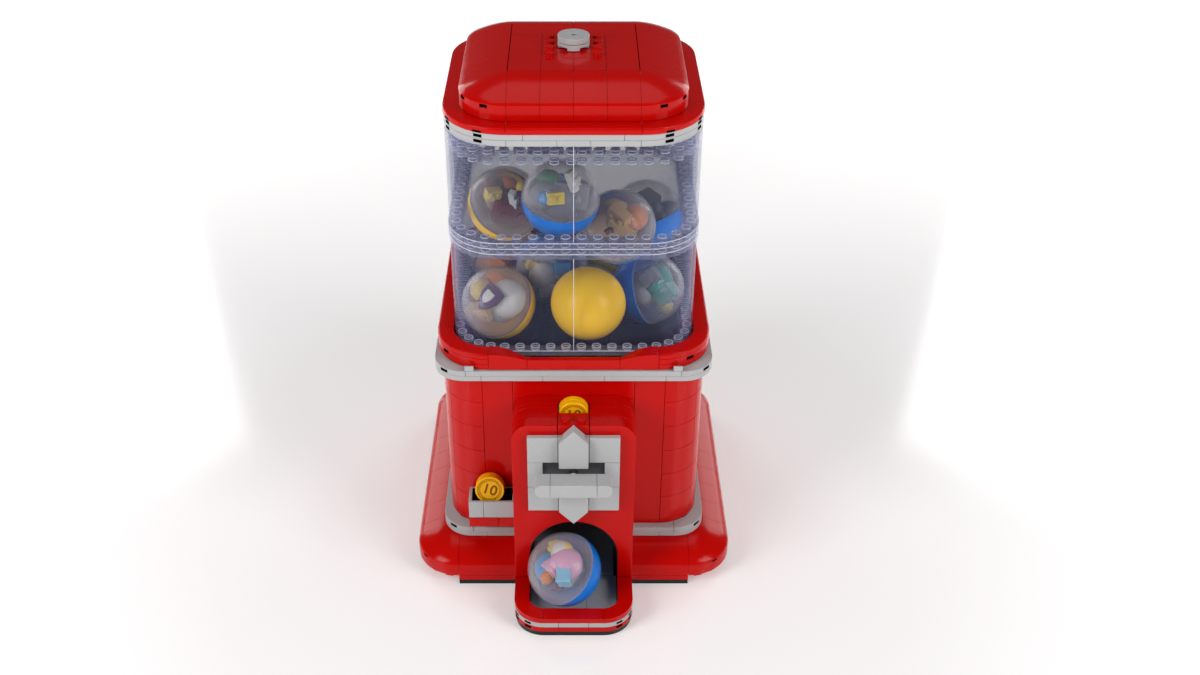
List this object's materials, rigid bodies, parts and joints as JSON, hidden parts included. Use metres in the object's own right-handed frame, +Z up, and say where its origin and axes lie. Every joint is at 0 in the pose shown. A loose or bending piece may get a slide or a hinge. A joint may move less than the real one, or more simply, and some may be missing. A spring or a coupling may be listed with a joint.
{
  "type": "capsule toy machine",
  "caption": "Brick-built capsule toy machine: coin dial, hopper window, lift-off lid, pocket wheel, chute and dispensing tray.",
  "frame": {"origin": "underside of the base plate, on the vertical axis of the pocket wheel", "axes": "+Z up, -Y towards the front with the dial and tray, +X to the viewer's right seen from the front"},
  "size_m": [0.176, 0.216, 0.2888],
  "materials": {
    "red_plastic": "glossy moulded",
    "light_grey_plastic": "glossy moulded",
    "dark_grey_plastic": "glossy moulded",
    "black_plastic": "glossy moulded",
    "clear_plastic": "transparent, polished",
    "yellow_plastic": "glossy moulded",
    "blue_plastic": "glossy moulded"
  },
  "bodies": {
    "machine": {"base_plate": "black_plastic", "skirt_left": "red_plastic", "skirt_right": "red_plastic", "lower_trim_ring": "light_grey_plastic", "front_wall": "red_plastic", "left_wall": "red_plastic", "right_wall": "red_plastic", "rear_wall": "red_plastic", "corner_front_left": "red_plastic", "corner_front_right": "red_plastic", "upper_trim_ring": "light_grey_plastic", "rim_collar": "red_plastic", "hopper_sill": "black_plastic", "window_base_ring": "clear_plastic", "window_mid_ring": "clear_plastic", "top_band": "light_grey_plastic", "hopper_deck": "black_plastic", "drop_shield": "black_plastic", "carousel_shaft": "dark_grey_plastic", "capsule_chute": "light_grey_plastic", "dispenser_housing": "red_plastic", "coin_slot_block": "red_plastic", "tray_body": "red_plastic", "tray_trim": "light_grey_plastic", "dial_plate": "light_grey_plastic", "dial_backing": "dark_grey_plastic", "arrow_upper": "light_grey_plastic", "arrow_lower": "light_grey_plastic", "coin_tray": "light_grey_plastic", "coin_shelf": "red_plastic", "coin_guide": "light_grey_plastic", "lower_panel_front_right": "clear_plastic", "lower_panel_rear_right": "clear_plastic", "lower_panel_rear_left": "clear_plastic", "lower_panel_front_left": "clear_plastic", "upper_panel_front_right": "clear_plastic", "upper_panel_rear_right": "clear_plastic", "upper_panel_rear_left": "clear_plastic", "upper_panel_front_left": "clear_plastic", "hopper_capsule_01": "yellow_plastic", "hopper_capsule_02": "blue_plastic", "hopper_capsule_03": "blue_plastic", "hopper_capsule_04": "blue_plastic", "hopper_capsule_05": "yellow_plastic", "hopper_capsule_06": "blue_plastic", "hopper_capsule_07": "yellow_plastic", "hopper_capsule_08": "blue_plastic", "hopper_capsule_09": "yellow_plastic", "hopper_capsule_10": "yellow_plastic"},
    "dial": {"dial_handle": "light_grey_plastic", "dial_axle": "dark_grey_plastic", "drive_pinion": "dark_grey_plastic"},
    "wheel": {"carousel": "black_plastic"},
    "lid": {"lid_plate": "red_plastic", "lid_dome": "red_plastic", "lid_knob": "light_grey_plastic"},
    "slot_coin": {"coin_in_slot": "yellow_plastic"},
    "tray_coin": {"coin_in_tray": "yellow_plastic"},
    "capsule": {"capsule_base": "blue_plastic"},
    "capsule_lid": {"capsule_cover": "clear_plastic"}
  },
  "joints": [
    {"name": "carousel_spin", "type": "hinge", "parent": "machine", "child": "wheel", "pos_m": [0, 0, 0.115], "axis": [0, 0, 1], "continuous": true},
    {"name": "dial_turn", "type": "hinge", "parent": "machine", "child": "dial", "pos_m": [0, -0.1, 0.0872], "axis": [0, 1, 0], "continuous": true},
    {"name": "lid_lift", "type": "slide", "parent": "machine", "child": "lid", "axis": [0, 0, 1], "range_m": [0, 0.06]},
    {"name": "coin_insert", "type": "slide", "parent": "machine", "child": "slot_coin", "axis": [0, 0, -1], "range_m": [0, 0.0068]},
    {"name": "tray_coin_lift", "type": "slide", "parent": "machine", "child": "tray_coin", "axis": [0, 0, 1], "range_m": [0, 0.03]},
    {"name": "capsule_out", "type": "slide", "parent": "machine", "child": "capsule", "axis": [0, -0.8, 0.6], "range_m": [0, 0.05]},
    {"name": "capsule_open", "type": "slide", "parent": "capsule", "child": "capsule_lid", "axis": [0, -0.8, 0.6], "range_m": [0, 0.02]}
  ],
  "couplings": [
    {"joint": "dial_turn", "follows": "carousel_spin", "ratio": 4}
  ]
}
